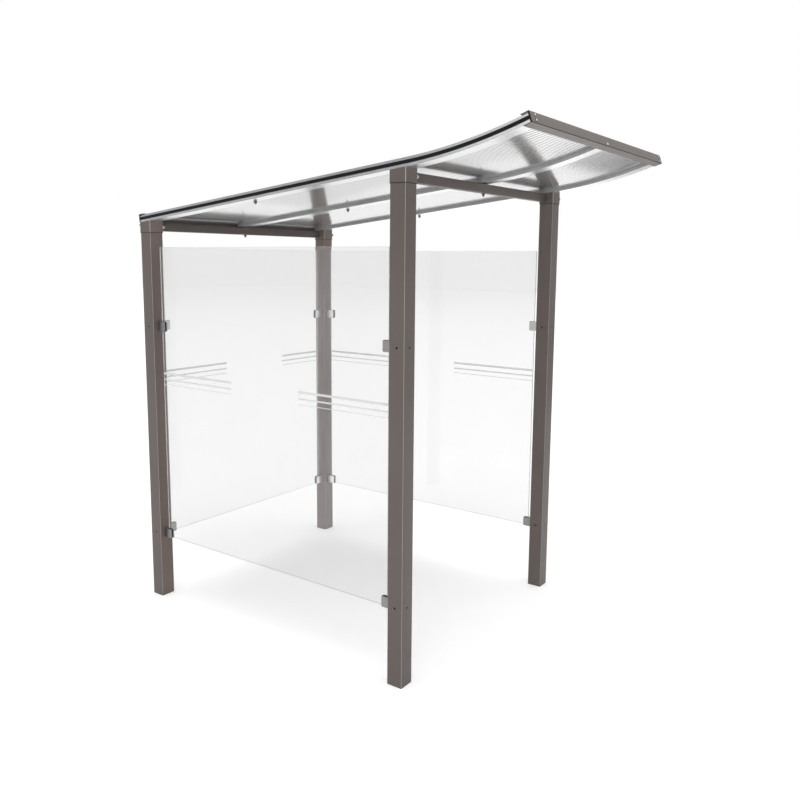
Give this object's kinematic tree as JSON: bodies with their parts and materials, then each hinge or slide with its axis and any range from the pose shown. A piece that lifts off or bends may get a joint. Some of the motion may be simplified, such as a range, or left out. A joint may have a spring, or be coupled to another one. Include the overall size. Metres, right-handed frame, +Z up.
{
  "type": "cashier shelter",
  "caption": "Open shelter with a square post at each corner, glass panes clamped at the rear and both sides, and a pitched cellular roof that curves up at its open front.",
  "frame": {"origin": "middle of the outer box at floor level; the frame's centre plane between the left and right posts is 8 mm to the -X side of it, because the collar bolts stand out on the +X side only", "axes": "+Z up; the open front with the raised roof edge faces -Y; the rear pane is on the +Y side; left is -X"},
  "size_m": [1.531, 2.403, 2.5013],
  "materials": {
    "post_paint": "satin taupe powder coat with a fine grain",
    "fascia_paint": "satin taupe powder coat",
    "bar_aluminium": "natural anodised, semi-gloss, drawn along its length",
    "sheet_plastic": "clear cellular sheet with cross ribs, glossy underneath",
    "seal_rubber": "black, semi-matt",
    "glass_print": "near-white ceramic print on the glass",
    "pane_glass": "clear toughened glass with polished edges",
    "clamp_metal": "satin stainless steel",
    "zinc_fixings": "bright zinc plate"
  },
  "bodies": {
    "root": {"post_front_left": "post_paint", "post_front_right": "post_paint", "post_rear_left": "post_paint", "post_rear_right": "post_paint", "collar_front_left": "post_paint", "collar_front_right": "post_paint", "collar_rear_left": "post_paint", "collar_rear_right": "post_paint", "collar_bolts": "zinc_fixings", "crossbeam_front": "post_paint", "crossbeam_rear": "post_paint", "rafter_left": "bar_aluminium", "rafter_middle": "bar_aluminium", "rafter_right": "bar_aluminium", "rafter_seal_left": "seal_rubber", "rafter_seal_middle": "seal_rubber", "rafter_seal_right": "seal_rubber", "rafter_cap_left": "bar_aluminium", "rafter_cap_middle": "bar_aluminium", "rafter_cap_right": "bar_aluminium", "roof_sheet_left": "sheet_plastic", "roof_sheet_right": "sheet_plastic", "fascia_channel": "fascia_paint", "rear_angle": "post_paint", "glass_left": "pane_glass", "glass_right": "pane_glass", "glass_rear": "pane_glass", "clamp_left_front_lower": "clamp_metal", "clamp_left_front_upper": "clamp_metal", "clamp_left_rear_lower": "clamp_metal", "clamp_left_rear_upper": "clamp_metal", "clamp_right_front_lower": "clamp_metal", "clamp_right_front_upper": "clamp_metal", "clamp_right_rear_lower": "clamp_metal", "clamp_right_rear_upper": "clamp_metal", "clamp_rear_left_lower": "clamp_metal", "clamp_rear_left_upper": "clamp_metal", "clamp_rear_right_lower": "clamp_metal", "clamp_rear_right_upper": "clamp_metal", "clamp_pads_left": "seal_rubber", "clamp_pads_right": "seal_rubber", "clamp_pads_rear": "seal_rubber"}
  },
  "joints": []
}
